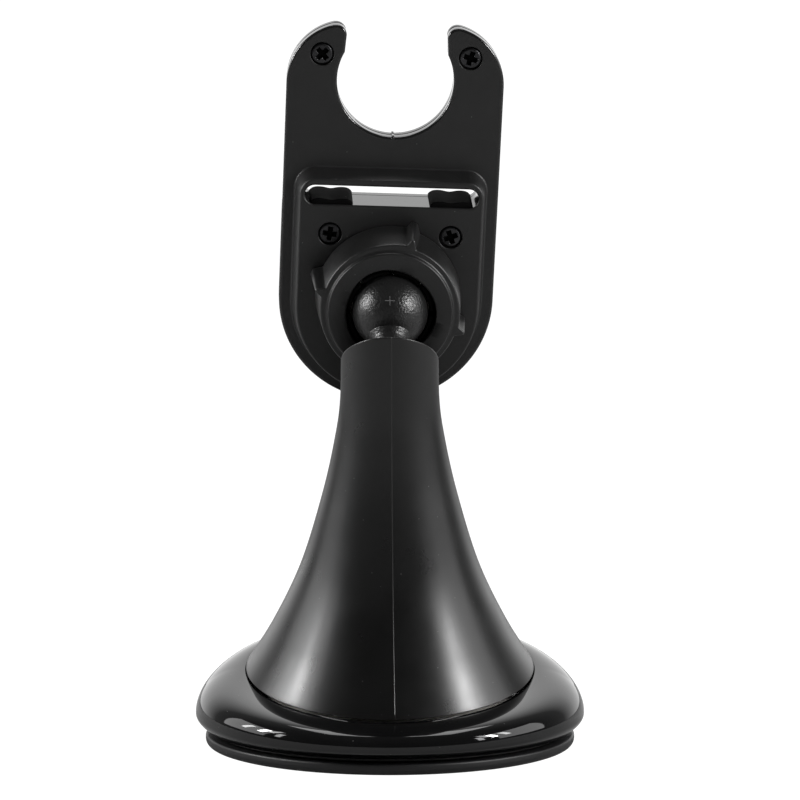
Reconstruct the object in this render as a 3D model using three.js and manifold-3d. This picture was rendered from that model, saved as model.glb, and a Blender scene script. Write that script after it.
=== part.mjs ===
// Car phone mount: suction base with a leaning trumpet pedestal, a 17 mm ball joint and a fork plate.
// Units are millimetres. +Z is up, the origin is the centre of the suction pad's underside.
// The windscreen side of the mount is -Y and the phone (driver) side is +Y.

import * as THREE from 'three';
import { mergeVertices } from 'three/addons/utils/BufferGeometryUtils.js';
import Module from 'manifold-3d';

const wasm = await Module();
wasm.setup();

// ---------------------------------------------------------------- driving dimensions

const GAP = 0.3; // clearance kept between neighbouring pieces

// suction pad and base plate
const PAD_R = 41.4;
const PAD_H = 2.6;
const PAD_POCKET_R = 12.3;
const PAD_POCKET_Z = 1.4;
const PLATE_BOTTOM = PAD_H + GAP;
const PLATE_R = 39.2;
const PLATE_RIM_TOP = 5.2;
const DOME_INNER_R = 18;
const DOME_OUTER_R = 19.8;
const DOME_UNDERSIDE = 6.5;
const DOME_TOP = 8.5;
const HUB_BORE_R = 6.2;
const HUB_OUTER_R = 9;
const HUB_TOP = 19;

// plunger and twist lock
const PLUNGER_FOOT_R = PAD_POCKET_R - GAP;
const PLUNGER_FOOT_TOP = 3.1;
const PLUNGER_R = 5.9;
const PLUNGER_TOP = 18.2;
const PIN_R = 1.2;
const PIN_LENGTH = 25;
const PIN_Z = 13.1;
const LOCK_LIFT = 3;
const LOCK_TURN = THREE.MathUtils.degToRad(70);
const CAM_INNER_R = HUB_OUTER_R + 0.4;
const CAM_RAMP_R = 14;
const CAM_FLANGE_R = 27.5;
const CAM_BOTTOM = 8.9;
const CAM_FLANGE_TOP = 10.9;
const CAM_LOW = PIN_Z - PIN_R - GAP;
const CAM_LANDING = THREE.MathUtils.degToRad(12);
const CAM_STEP = THREE.MathUtils.degToRad(2);

// glossy base ring
const RING_BOTTOM = 3.6;
const RING_BOTTOM_R = 41.2;
const RING_WIDE_R = 43.6;
const RING_WIDE_Z = 7.3;
const RING_WALL = 1.55;
const WEB_BOTTOM = 5.6;
const WEB_TOP = 8.6;
const WEB_INNER_R = 20.4;

// seam between ring and pedestal: a circle in a plane that dips towards -Y
const LEAN = THREE.MathUtils.degToRad(12.2);
const SEAM_Z = 17;
const SEAM_R = 32.5;
const SEAM_GAP = 0.35;

// pedestal: a trumpet around an axis square to the seam
const TRUMPET_PROFILE = [
  [32.6, 0], [26.5, 10.2], [20.0, 24.4], [15.05, 41], [12.2, 54], [10.9, 64], [10.7, 80],
];
const TRUMPET_WALL = 2.4;
const TRUMPET_CAVITY_TOP = 66;
const TOP_CUT_ALONG_AXIS = 72.3;
const TOP_CUT_SLOPE = THREE.MathUtils.degToRad(26);
const POST_RADIUS_AT = 24;
const POST_R = 3;
const POST_BOTTOM = 11.2;
const POST_ANGLES = [90, 210, 330].map(THREE.MathUtils.degToRad);
const BASE_SCREW_HEAD_R = 2.6;

// ball joint
const BALL = new THREE.Vector3(0, -4.4, 97.55);
const BALL_R = 8.5;
const STEM_LEAN = THREE.MathUtils.degToRad(37);
const NECK_TOP_R = 4.9;
const NECK_FOOT_R = 4.2;
const STEM_FACE = 13.9; // distance from the ball's centre to the pedestal's top face
const SPIGOT_R = 3.2;
const STUD_BORE_R = 2.3;
const STUD_SCREW_R = 2;
const STUD_SCREW_HEAD_R = 3.4;
const TOP_WALL = 4;

// head: turned about the ball's centre. Its own axes are x across, y along the socket, z up the plate
const HEAD_YAW = THREE.MathUtils.degToRad(2.4);
const HEAD_TILT = THREE.MathUtils.degToRad(13.3);
const HEAD_ROLL = THREE.MathUtils.degToRad(1.9);

// depths along the socket axis, from the ball's centre
const NUT_FACE = -2.2;
const NUT_RIM = -0.9;
const NUT_END = 11.6;
const SOCKET_MOUTH = -1.2;
const SOCKET_FLANGE = 15;
const SOCKET_END = 17.6;
const PLATFORM_FACE = 12.6;
const PLATE_REAR = 19.2;
const COVER_SPLIT = 21.6;
const FRONT_FACE = 24.2;

// outline of the fork plate
const HALF_WIDTH = 24.25;
const ROUND_END_Z = -3.1;
const HORN_Z = 46.8;
const HORN_R = 13.5;
const TIP_X = 13.5;
const TIP_Z = 57.6;
const TIP_R = 2.3;
const FORK_Z = 47.65;
const FORK_R = 13;
const FORK_ARC_START = THREE.MathUtils.degToRad(28);

// raised platform behind the plate
const PLATFORM_HALF_WIDTH = 20.4;
const PLATFORM_TOP_Z = 26.3;
const PLATFORM_CORNER_R = 3.5;
const PLATFORM_DRAFT = 1.4;
const COVER_WALL = 2;
const CAVITY_TOP_Z = 18.9;

// slot for a finger ring, with two rubber saddles on its floor
const SLOT_Z = 22.65;
const SLOT_LENGTH = 38.8;
const SLOT_HEIGHT = 4.4;
const SADDLE_X = 13.4;
const SADDLE_LENGTH = 9.6;
const SADDLE_HEIGHT = 1.3;
const SADDLE_DIP = 0.5;

// head screws
const HORN_SCREW = { x: 16.5, z: 53.25 };
const PLATFORM_SCREW = { x: 13.5, z: 13.7 };
const HEAD_SCREW_R = 2.45;
const HEAD_SCREW_RECESS_R = 2.7;
const SCREW_HEAD_H = 1.5;
const SHANK_R = 1.1;

// ball socket, seat and nut radii
const SOCKET_BORE_R = 9.1;
const SOCKET_CAVITY_R = BALL_R + GAP;
const SOCKET_TUBE_R = 12.2;
const SOCKET_TIP_R = 9.6;
const SOCKET_FLANGE_R = 15.2;
const FINGER_SLOT_WIDTH = 1.2;
const FINGER_SLOT_END = 5;
const SEAT_LIP = 4;
const SEAT_END = 11.5;
const CUSHION_END = 15.5;
const NUT_HOLE_R = 10;
const NUT_BORE_R = 12.6;
const NUT_WINGS = 4;
const FIRST_WING = THREE.MathUtils.degToRad(15);
const WING_RAMP = 0.22; // share of a wing's height that rises slowly before its rib
const WING_RIB_RISE = 0.05; // in shares of the angle between wings
const WING_RIB_FALL = 0.1;

// ---------------------------------------------------------------- materials

function plastic(color, roughness) {
  return new THREE.MeshStandardMaterial({ color, roughness, metalness: 0 });
}

const MATERIALS = {
  satinBlack: plastic(0x161616, 0.42),
  matteBlack: plastic(0x1d1d1d, 0.6),
  glossBlack: plastic(0x0a0a0a, 0.12),
  textured: plastic(0x1b1b1b, 0.55),
  rubber: plastic(0x151515, 0.85),
  gel: plastic(0x1a1a1a, 0.7),
  innerPlastic: plastic(0x3a3a3a, 0.6),
  acetal: plastic(0xd9d6cc, 0.5),
  blackSteel: new THREE.MeshStandardMaterial({ color: 0x1c1c1e, roughness: 0.38, metalness: 0.9 }),
  zincSteel: new THREE.MeshStandardMaterial({ color: 0xa8aaad, roughness: 0.35, metalness: 1 }),
};

// ---------------------------------------------------------------- solids

function signedVolume(positions, triangles) {
  const a = new THREE.Vector3();
  const b = new THREE.Vector3();
  const c = new THREE.Vector3();
  let volume = 0;
  for (let i = 0; i < triangles.length; i += 3) {
    a.fromArray(positions, 3 * triangles[i]);
    b.fromArray(positions, 3 * triangles[i + 1]);
    c.fromArray(positions, 3 * triangles[i + 2]);
    volume += a.dot(b.cross(c)) / 6;
  }
  return volume;
}

// A closed three.js geometry as a manifold solid with its faces pointing out.
function solid(geometry) {
  const bare = geometry.clone();
  bare.deleteAttribute('normal');
  bare.deleteAttribute('uv');
  const merged = mergeVertices(bare, 1e-4);
  const positions = Float32Array.from(merged.attributes.position.array);
  const triangles = [];
  const index = merged.index.array;
  for (let i = 0; i < index.length; i += 3) {
    const [p, q, r] = [index[i], index[i + 1], index[i + 2]];
    if (p !== q && q !== r && r !== p) triangles.push(p, q, r);
  }
  if (signedVolume(positions, triangles) < 0) triangles.reverse();
  const mesh = new wasm.Mesh({
    numProp: 3,
    vertProperties: positions,
    triVerts: Uint32Array.from(triangles),
  });
  return new wasm.Manifold(mesh);
}

function geometryOf(manifold) {
  const mesh = manifold.getMesh();
  const geometry = new THREE.BufferGeometry();
  geometry.setAttribute('position', new THREE.BufferAttribute(mesh.vertProperties, 3));
  geometry.setIndex(new THREE.BufferAttribute(mesh.triVerts, 1));
  geometry.computeVertexNormals();
  return geometry;
}

function piece(name, manifold, material) {
  const mesh = new THREE.Mesh(geometryOf(manifold), material);
  mesh.name = name;
  return mesh;
}

// Points [radius, height] turned about the Y axis. The profile starts and ends on the axis.
function turned(points, segments = 32) {
  return new THREE.LatheGeometry(points.map(([r, h]) => new THREE.Vector2(r, h)), segments);
}

// The same, with the height along +Z.
function turnedUp(points, segments = 32) {
  return turned(points, segments).rotateX(Math.PI / 2);
}

function rodUp(radius, bottom, top, segments = 16) {
  return turnedUp([[0, bottom], [radius, bottom], [radius, top], [0, top]], segments);
}

function rodAlongY(radius, near, far, segments = 16) {
  return turned([[0, near], [radius, near], [radius, far], [0, far]], segments);
}

function box(width, depth, height, x, y, z) {
  return new THREE.BoxGeometry(width, depth, height).translate(x, y, z);
}

// A shape drawn in x and z, made solid between two depths along the socket axis.
function slab(shape, near, far, curveSegments = 5) {
  const geometry = new THREE.ExtrudeGeometry(shape, {
    depth: far - near,
    bevelEnabled: false,
    curveSegments,
  });
  return geometry.rotateX(Math.PI / 2).translate(0, far, 0);
}

// Points of a circular arc as [radius, height] pairs, angles in degrees from the radius direction.
function arc(centreR, centreH, radius, fromDegrees, toDegrees, steps) {
  return Array.from({ length: steps + 1 }, (_, i) => {
    const angle = THREE.MathUtils.degToRad(fromDegrees + ((toDegrees - fromDegrees) * i) / steps);
    return [centreR + radius * Math.cos(angle), centreH + radius * Math.sin(angle)];
  });
}

// A closed solid from stacked loops. pointAt(level, angle) gives a point; both ends are closed by fans.
function stacked(levels, segments, pointAt) {
  const positions = [];
  const triangles = [];
  for (let level = 0; level < levels; level += 1) {
    for (let i = 0; i < segments; i += 1) {
      positions.push(...pointAt(level, (2 * Math.PI * i) / segments).toArray());
    }
  }
  for (let level = 0; level < levels - 1; level += 1) {
    for (let i = 0; i < segments; i += 1) {
      const a = level * segments + i;
      const b = level * segments + ((i + 1) % segments);
      triangles.push(a, b, b + segments, a, b + segments, a + segments);
    }
  }
  for (const level of [0, levels - 1]) {
    const first = level * segments;
    const centre = new THREE.Vector3();
    for (let i = 0; i < segments; i += 1) {
      centre.add(new THREE.Vector3().fromArray(positions, 3 * (first + i)));
    }
    const middle = positions.length / 3;
    positions.push(...centre.divideScalar(segments).toArray());
    for (let i = 0; i < segments; i += 1) {
      const next = first + ((i + 1) % segments);
      const edge = level === 0 ? [next, first + i] : [first + i, next];
      triangles.push(middle, ...edge);
    }
  }
  const geometry = new THREE.BufferGeometry();
  geometry.setAttribute('position', new THREE.Float32BufferAttribute(positions, 3));
  geometry.setIndex(triangles);
  return geometry;
}

// ---------------------------------------------------------------- base

function suctionPad() {
  const profile = [
    [0, 0], [PAD_R - 1.5, 0], [PAD_R - 0.5, 0.4], [PAD_R, 1.4], [PAD_R, PAD_H - 0.4],
    [PAD_R - 0.5, PAD_H],
    [PAD_POCKET_R, PAD_H], [PAD_POCKET_R, PAD_POCKET_Z], [0, PAD_POCKET_Z],
  ];
  return piece('suction_pad', solid(turnedUp(profile, 40)), MATERIALS.gel);
}

function basePlate() {
  const profile = [
    [HUB_BORE_R, DOME_UNDERSIDE], [DOME_INNER_R, DOME_UNDERSIDE], [DOME_INNER_R, PLATE_BOTTOM],
    [PLATE_R, PLATE_BOTTOM], [PLATE_R, PLATE_RIM_TOP], [DOME_OUTER_R, PLATE_RIM_TOP],
    [DOME_OUTER_R, DOME_TOP], [HUB_OUTER_R, DOME_TOP], [HUB_OUTER_R, HUB_TOP],
    [HUB_BORE_R, HUB_TOP], [HUB_BORE_R, DOME_UNDERSIDE],
  ];
  const pinSlotBottom = PIN_Z - PIN_R - GAP;
  const pinSlotHeight = HUB_TOP + 1 - pinSlotBottom;
  const pinSlots = box(
    2 * HUB_OUTER_R + 2, 2 * (PIN_R + GAP), pinSlotHeight, 0, 0, pinSlotBottom + pinSlotHeight / 2,
  );
  return piece(
    'base_plate', solid(turnedUp(profile, 40)).subtract(solid(pinSlots)), MATERIALS.innerPlastic,
  );
}

function crossPinHole(radius) {
  return rodUp(radius, -PIN_LENGTH, PIN_LENGTH).rotateY(Math.PI / 2).translate(0, 0, PIN_Z);
}

function plunger() {
  const profile = [
    [0, PAD_POCKET_Z + GAP], [PLUNGER_FOOT_R, PAD_POCKET_Z + GAP],
    [PLUNGER_FOOT_R, PLUNGER_FOOT_TOP], [PLUNGER_R, PLUNGER_FOOT_TOP],
    [PLUNGER_R, PLUNGER_TOP - 0.6], [PLUNGER_R - 0.6, PLUNGER_TOP], [0, PLUNGER_TOP],
  ];
  const body = solid(turnedUp(profile)).subtract(solid(crossPinHole(PIN_R + GAP)));
  return piece('plunger', body, MATERIALS.acetal);
}

function plungerPin() {
  const half = PIN_LENGTH / 2;
  const profile = [
    [0, -half], [PIN_R - 0.2, -half], [PIN_R, 0.2 - half], [PIN_R, half - 0.2], [PIN_R - 0.2, half],
    [0, half],
  ];
  const rod = turnedUp(profile, 16).rotateY(Math.PI / 2).translate(0, 0, PIN_Z);
  return piece('plunger_pin', solid(rod), MATERIALS.zincSteel);
}

// Height of the cam's top at an angle about Z: a ramp of LOCK_LIFT over LOCK_TURN, twice a turn.
function camHeight(angle) {
  const phase = (angle + Math.PI) % Math.PI;
  if (phase < LOCK_TURN) return CAM_LOW + (LOCK_LIFT * phase) / LOCK_TURN;
  const pastRamp = phase - LOCK_TURN;
  if (pastRamp < CAM_LANDING) return CAM_LOW + LOCK_LIFT;
  return pastRamp < CAM_LANDING + CAM_STEP ? CAM_LOW + LOCK_LIFT / 2 : CAM_LOW;
}

function lockCam() {
  const ramps = stacked(2, 60, (level, angle) => new THREE.Vector3(
    CAM_RAMP_R * Math.cos(angle),
    CAM_RAMP_R * Math.sin(angle),
    level === 0 ? CAM_BOTTOM : camHeight(angle),
  ));
  let body = solid(ramps).add(solid(rodUp(CAM_FLANGE_R, CAM_BOTTOM, CAM_FLANGE_TOP, 32)));
  body = body.subtract(solid(rodUp(CAM_INNER_R, 0, HUB_TOP + 5, 32)));
  for (const [x, y] of postPlaces()) {
    body = body.subtract(solid(rodUp(SHANK_R + 0.4, 0, 20, 12).translate(x, y, 0)));
  }
  return piece('lock_cam', body, MATERIALS.acetal);
}

function postPlaces() {
  return POST_ANGLES.map((a) => [POST_RADIUS_AT * Math.cos(a), POST_RADIUS_AT * Math.sin(a)]);
}

function baseScrew(index, [x, y]) {
  const head = WEB_BOTTOM + 0.2;
  const under = head + SCREW_HEAD_H;
  const profile = [
    [0, head], [BASE_SCREW_HEAD_R, head], [BASE_SCREW_HEAD_R, under], [SHANK_R, under],
    [SHANK_R, under + 11], [SHANK_R - 0.6, under + 12], [0, under + 12],
  ];
  const body = solid(turnedUp(profile, 16)).subtract(crossRecess(head, 0.9));
  return piece(`base_screw_${index + 1}`, body, MATERIALS.zincSteel).translateX(x).translateY(y);
}

// A cross-shaped driver recess that opens downwards at a height.
function crossRecess(height, depth) {
  const bar = box(2.6, 0.7, 2 * depth, 0, 0, height);
  return solid(bar).add(solid(bar.clone().rotateZ(Math.PI / 2)));
}

// A point on the seam circle, or on one shrunk towards its centre and lowered along the axis.
function seamPoint(angle, radius, drop) {
  const point = new THREE.Vector3(radius * Math.cos(angle), radius * Math.sin(angle), -drop);
  return point.applyAxisAngle(new THREE.Vector3(1, 0, 0), LEAN).add(new THREE.Vector3(0, 0, SEAM_Z));
}

// The ring's outside: a short undercut, then a quarter ellipse from the widest line up to the seam.
function ringLoft(inset, bottom, floor) {
  const under = 2;
  const over = 5;
  return stacked(under + over + 2, 40, (level, angle) => {
    const seam = seamPoint(angle, SEAM_R + 0.1 - inset / 2, inset);
    const seamR = Math.hypot(seam.x, seam.y);
    const direction = new THREE.Vector3(seam.x / seamR, seam.y / seamR, 0);
    const wide = RING_WIDE_R - inset;
    if (level === 0) return direction.multiplyScalar(RING_BOTTOM_R - inset).setZ(floor);
    if (level <= under) {
      const t = (level - 1) / under;
      const bulge = (RING_WIDE_R - RING_BOTTOM_R) * Math.sin((t * Math.PI) / 2);
      const radius = RING_BOTTOM_R - inset + bulge;
      return direction.multiplyScalar(radius).setZ(bottom + (RING_WIDE_Z - bottom) * t);
    }
    const rise = ((level - under - 1) / over) * (Math.PI / 2);
    const radius = seamR + (wide - seamR) * Math.cos(rise);
    const height = RING_WIDE_Z + (seam.z - RING_WIDE_Z) * Math.sin(rise);
    return direction.multiplyScalar(radius).setZ(height);
  });
}

function baseRing() {
  const outside = solid(ringLoft(0, RING_BOTTOM + 0.2, RING_BOTTOM));
  const inside = solid(ringLoft(RING_WALL, RING_BOTTOM + 0.2, 0));
  const webRing = solid(rodUp(RING_BOTTOM_R, WEB_BOTTOM, WEB_TOP, 40))
    .subtract(solid(rodUp(WEB_INNER_R, 0, 20, 32)))
    .intersect(outside);
  const mouth = solid(rodUp(SEAM_R - 3.4, -20, 20, 40).rotateX(LEAN).translate(0, 0, SEAM_Z));
  let body = outside.subtract(inside).subtract(mouth).add(webRing);
  for (const [x, y] of postPlaces()) {
    body = body.subtract(solid(rodUp(SHANK_R + 0.4, 0, 20, 12).translate(x, y, 0)));
    const recessTop = WEB_BOTTOM + 0.2 + SCREW_HEAD_H + 0.3;
    body = body.subtract(solid(rodUp(BASE_SCREW_HEAD_R + GAP, 0, recessTop).translate(x, y, 0)));
  }
  return piece('base_ring', body, MATERIALS.glossBlack);
}

// ---------------------------------------------------------------- pedestal

function trumpetCurve(shrink, top) {
  const spline = new THREE.SplineCurve(TRUMPET_PROFILE.map(([r, h]) => new THREE.Vector2(r, h)));
  const points = spline.getPoints(12).map((p) => [p.x - shrink, p.y]);
  return points.filter(([, h]) => h < top);
}

function trumpetSolid(shrink, top, bottom) {
  const side = trumpetCurve(shrink, top);
  const [lastR] = side.at(-1);
  return turnedUp([[0, bottom], [side[0][0], bottom], ...side, [lastR, top], [0, top]], 40);
}

// Moves a shape made around Z into the frame of the stem, which starts at the ball and points down.
function alongStem(geometry) {
  return geometry.rotateX(Math.PI - STEM_LEAN).translate(BALL.x, BALL.y, BALL.z);
}

function pedestal() {
  const place = (geometry) => geometry.rotateX(LEAN).translate(0, 0, SEAM_Z);
  const outside = solid(place(trumpetSolid(0, 80, SEAM_GAP)));
  const inside = solid(place(trumpetSolid(TRUMPET_WALL, TRUMPET_CAVITY_TOP, -5)));
  let body = outside.subtract(inside);
  for (const [x, y] of postPlaces()) {
    const post = solid(rodUp(POST_R, POST_BOTTOM, 60, 12).translate(x, y, 0));
    const filledTrumpet = solid(place(trumpetSolid(0.8, 80, -9)));
    body = body.add(post.intersect(filledTrumpet));
    body = body.subtract(solid(rodUp(SHANK_R + 0.4, 0, 22, 12).translate(x, y, 0)));
  }
  const cutCentre = new THREE.Vector3(0, 0, TOP_CUT_ALONG_AXIS)
    .applyAxisAngle(new THREE.Vector3(1, 0, 0), LEAN)
    .add(new THREE.Vector3(0, 0, SEAM_Z));
  const above = box(60, 60, 30, 0, 0, 15).rotateX(-TOP_CUT_SLOPE);
  body = body.subtract(solid(above.translate(cutCentre.x, cutCentre.y, cutCentre.z)));
  body = body.subtract(solid(alongStem(rodUp(SPIGOT_R + GAP, 5, STEM_FACE + TOP_WALL + 6))));
  const pocket = rodUp(STUD_SCREW_HEAD_R + 1.1, STEM_FACE + TOP_WALL, STEM_FACE + TOP_WALL + 4.5);
  body = body.subtract(solid(alongStem(pocket)));
  return piece('pedestal', body, MATERIALS.satinBlack);
}

// ---------------------------------------------------------------- ball stud

function ballStud() {
  const neckStart = Math.sqrt(BALL_R ** 2 - NECK_TOP_R ** 2);
  const ball = arc(0, 0, BALL_R, -90, THREE.MathUtils.radToDeg(Math.asin(neckStart / BALL_R)), 10);
  const neckEnd = STEM_FACE - 1.2;
  const profile = [
    ...ball.map(([r, h], i) => (i === 0 ? [0, h] : [r, h])),
    [NECK_FOOT_R, neckEnd - 2], [NECK_FOOT_R, neckEnd], [SPIGOT_R, neckEnd],
    [SPIGOT_R, STEM_FACE + 3.4], [STUD_BORE_R, STEM_FACE + 3.4], [STUD_BORE_R, 4], [0, 4],
  ];
  const body = solid(alongStem(turnedUp(profile, 28)));
  return piece('ball_stud', body, MATERIALS.textured);
}

function studWasher() {
  const near = STEM_FACE + TOP_WALL + GAP;
  const profile = [
    [STUD_BORE_R, near], [4.1, near], [4.1, near + 1], [STUD_BORE_R, near + 1], [STUD_BORE_R, near],
  ];
  return piece('stud_washer', solid(alongStem(turnedUp(profile, 16))), MATERIALS.zincSteel);
}

function studScrew() {
  const under = STEM_FACE + TOP_WALL + 2 * GAP + 1;
  const top = under + 2.2;
  const profile = [
    [0, 5], [STUD_SCREW_R, 5], [STUD_SCREW_R, under], [STUD_SCREW_HEAD_R, under],
    [STUD_SCREW_HEAD_R, top - 0.6], [STUD_SCREW_HEAD_R - 0.9, top], [0, top],
  ];
  const recess = crossRecess(top, 1.1);
  const body = solid(turnedUp(profile, 16)).subtract(recess);
  const mesh = piece('stud_screw', body, MATERIALS.zincSteel);
  alongStem(mesh.geometry);
  return mesh;
}

// ---------------------------------------------------------------- head: socket, seat and nut

function ballSocket() {
  const mouthR = Math.sqrt(SOCKET_CAVITY_R ** 2 - SOCKET_MOUTH ** 2);
  const profile = [
    [0, SOCKET_END], [SOCKET_FLANGE_R, SOCKET_END], [SOCKET_FLANGE_R, SOCKET_FLANGE],
    [SOCKET_TUBE_R, SOCKET_FLANGE], [SOCKET_TUBE_R, 2.7], [SOCKET_TIP_R, -0.6],
    [SOCKET_TIP_R, SOCKET_MOUTH + 0.3], [SOCKET_TIP_R - 0.3, SOCKET_MOUTH], [mouthR, SOCKET_MOUTH],
    [SOCKET_CAVITY_R, 0], [SOCKET_BORE_R, 2], [SOCKET_BORE_R, CUSHION_END + GAP],
    [0, CUSHION_END + GAP],
  ];
  let body = solid(turned(profile));
  const slotLength = FINGER_SLOT_END - SOCKET_MOUTH + 1;
  const slotCentre = FINGER_SLOT_END - slotLength / 2;
  for (let i = 0; i < 4; i += 1) {
    const cut = box(FINGER_SLOT_WIDTH, slotLength, 40, 0, slotCentre, 0);
    body = body.subtract(solid(cut.rotateY((i * Math.PI) / 4)));
  }
  return piece('ball_socket', body, MATERIALS.innerPlastic);
}

function ballSeat() {
  const lipAngle = THREE.MathUtils.radToDeg(Math.asin(SEAT_LIP / SOCKET_CAVITY_R));
  const cup = arc(0, 0, SOCKET_CAVITY_R, 90, lipAngle, 6);
  cup[0] = [0, SOCKET_CAVITY_R];
  const outerR = SOCKET_BORE_R - GAP;
  const profile = [...cup, [outerR, SEAT_LIP], [outerR, SEAT_END], [0, SEAT_END]];
  return piece('ball_seat', solid(turned(profile)), MATERIALS.acetal);
}

function seatCushion() {
  const near = SEAT_END + GAP;
  const profile = [
    [3, near], [8.2, near], [8.6, near + 0.4], [8.6, CUSHION_END - 0.4], [8.2, CUSHION_END],
    [3, CUSHION_END], [3, near],
  ];
  return piece('seat_cushion', solid(turned(profile, 24)), MATERIALS.rubber);
}

// Height of a grip wing at an angle clockwise from the top: a long slow ramp, then a narrow rib.
function wing(clockwise) {
  const turns = ((clockwise - FIRST_WING) * NUT_WINGS) / (2 * Math.PI);
  const fromCrest = turns - Math.round(turns);
  if (fromCrest > 0) return Math.max(0, 1 - fromCrest / WING_RIB_FALL);
  const ramp = (1 + 2 * fromCrest) ** 2;
  return WING_RAMP * ramp + (1 - WING_RAMP) * Math.max(0, 1 + fromCrest / WING_RIB_RISE);
}

function lockingNut() {
  const levels = [
    { depth: NUT_FACE, radius: 13.9, wing: 0 },
    { depth: NUT_RIM, radius: 14, wing: 0 },
    { depth: NUT_RIM, radius: 15, wing: 1.5 },
    { depth: NUT_RIM + 0.5, radius: 15.4, wing: 1.9 },
    { depth: NUT_END - 0.4, radius: 16.3, wing: 1.9 },
    { depth: NUT_END, radius: 15.9, wing: 1.5 },
  ];
  const outside = stacked(levels.length, 72, (level, angle) => {
    const { depth, radius, wing: height } = levels[level];
    const r = radius + height * wing(angle);
    return new THREE.Vector3(r * Math.sin(angle), depth, r * Math.cos(angle));
  });
  const bore = [
    [0, NUT_FACE - 1], [NUT_HOLE_R, NUT_FACE - 1], [NUT_HOLE_R, NUT_RIM], [NUT_BORE_R, 2.2],
    [NUT_BORE_R, NUT_END + 1], [0, NUT_END + 1],
  ];
  const body = solid(outside).subtract(solid(turned(bore)));
  return piece('locking_nut', body, MATERIALS.matteBlack);
}

// ---------------------------------------------------------------- head: covers

function plateOutline() {
  const hornX = HALF_WIDTH - HORN_R;
  const tipStart = Math.atan2(TIP_Z - HORN_Z, TIP_X - hornX);
  const shape = new THREE.Shape();
  shape.moveTo(HALF_WIDTH, ROUND_END_Z);
  shape.lineTo(HALF_WIDTH, HORN_Z);
  shape.absarc(hornX, HORN_Z, HORN_R, 0, tipStart, false);
  shape.absarc(TIP_X, TIP_Z, TIP_R, tipStart, Math.PI, false);
  shape.absarc(0, FORK_Z, FORK_R, FORK_ARC_START, Math.PI - FORK_ARC_START, true);
  shape.absarc(-TIP_X, TIP_Z, TIP_R, 0, Math.PI - tipStart, false);
  shape.absarc(-hornX, HORN_Z, HORN_R, Math.PI - tipStart, Math.PI, false);
  shape.lineTo(-HALF_WIDTH, ROUND_END_Z);
  shape.absarc(0, ROUND_END_Z, HALF_WIDTH, Math.PI, 2 * Math.PI, false);
  return shape;
}

function platformOutline(halfWidth, topZ, cornerR) {
  const shape = new THREE.Shape();
  shape.moveTo(halfWidth, ROUND_END_Z);
  shape.lineTo(halfWidth, topZ - cornerR);
  shape.absarc(halfWidth - cornerR, topZ - cornerR, cornerR, 0, Math.PI / 2, false);
  shape.lineTo(cornerR - halfWidth, topZ);
  shape.absarc(cornerR - halfWidth, topZ - cornerR, cornerR, Math.PI / 2, Math.PI, false);
  shape.lineTo(-halfWidth, ROUND_END_Z);
  shape.absarc(0, ROUND_END_Z, halfWidth, Math.PI, 2 * Math.PI, false);
  return shape;
}

function slotShape() {
  const half = SLOT_LENGTH / 2 - SLOT_HEIGHT / 2;
  const shape = new THREE.Shape();
  shape.absarc(half, SLOT_Z, SLOT_HEIGHT / 2, -Math.PI / 2, Math.PI / 2, false);
  shape.absarc(-half, SLOT_Z, SLOT_HEIGHT / 2, Math.PI / 2, (3 * Math.PI) / 2, false);
  return shape;
}

// The platform: its flat face is the shape itself, and its sides widen by the draft towards the plate.
function platformBlock() {
  const rise = PLATE_REAR - PLATFORM_FACE;
  const outline = platformOutline(PLATFORM_HALF_WIDTH, PLATFORM_TOP_Z, PLATFORM_CORNER_R);
  const geometry = new THREE.ExtrudeGeometry(outline, {
    depth: COVER_SPLIT - PLATE_REAR,
    bevelEnabled: true,
    bevelThickness: rise,
    bevelSize: PLATFORM_DRAFT,
    bevelSegments: 1,
    curveSegments: 5,
  });
  const placed = geometry.rotateX(Math.PI / 2).translate(0, COVER_SPLIT, 0);
  return solid(placed).subtract(solid(box(80, 40, 120, 0, COVER_SPLIT + 20, 0)));
}

function hole(radius, near, far, { x, z }, side) {
  return solid(rodAlongY(radius, near, far, 14).translate(side * x, 0, z));
}

const SIDES = [-1, 1];

function backCover() {
  let body = solid(slab(plateOutline(), PLATE_REAR, COVER_SPLIT)).add(platformBlock());
  const cavityFace = PLATFORM_FACE + COVER_WALL;
  const cavityOutline = platformOutline(PLATFORM_HALF_WIDTH - COVER_WALL + 0.6, CAVITY_TOP_Z, 2);
  let cavity = solid(slab(cavityOutline, cavityFace, COVER_SPLIT + 5));
  for (const side of SIDES) {
    cavity = cavity.subtract(hole(3.3, cavityFace - 1, 17.2, PLATFORM_SCREW, side));
  }
  body = body.subtract(cavity);
  body = body.subtract(solid(rodAlongY(SOCKET_TUBE_R + 0.7, 0, cavityFace + 1, 32)));
  body = body.subtract(solid(slab(slotShape(), 0, 40)));
  for (const side of SIDES) {
    body = body.subtract(hole(SHANK_R + 0.3, 0, 40, HORN_SCREW, side));
    body = body.subtract(hole(SHANK_R + 0.3, 0, 40, PLATFORM_SCREW, side));
    body = body.subtract(hole(HEAD_SCREW_RECESS_R, 0, PLATE_REAR + 1.6, HORN_SCREW, side));
    body = body.subtract(hole(HEAD_SCREW_RECESS_R, 0, PLATFORM_FACE + 1.9, PLATFORM_SCREW, side));
  }
  return piece('back_cover', body, MATERIALS.matteBlack);
}

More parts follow.
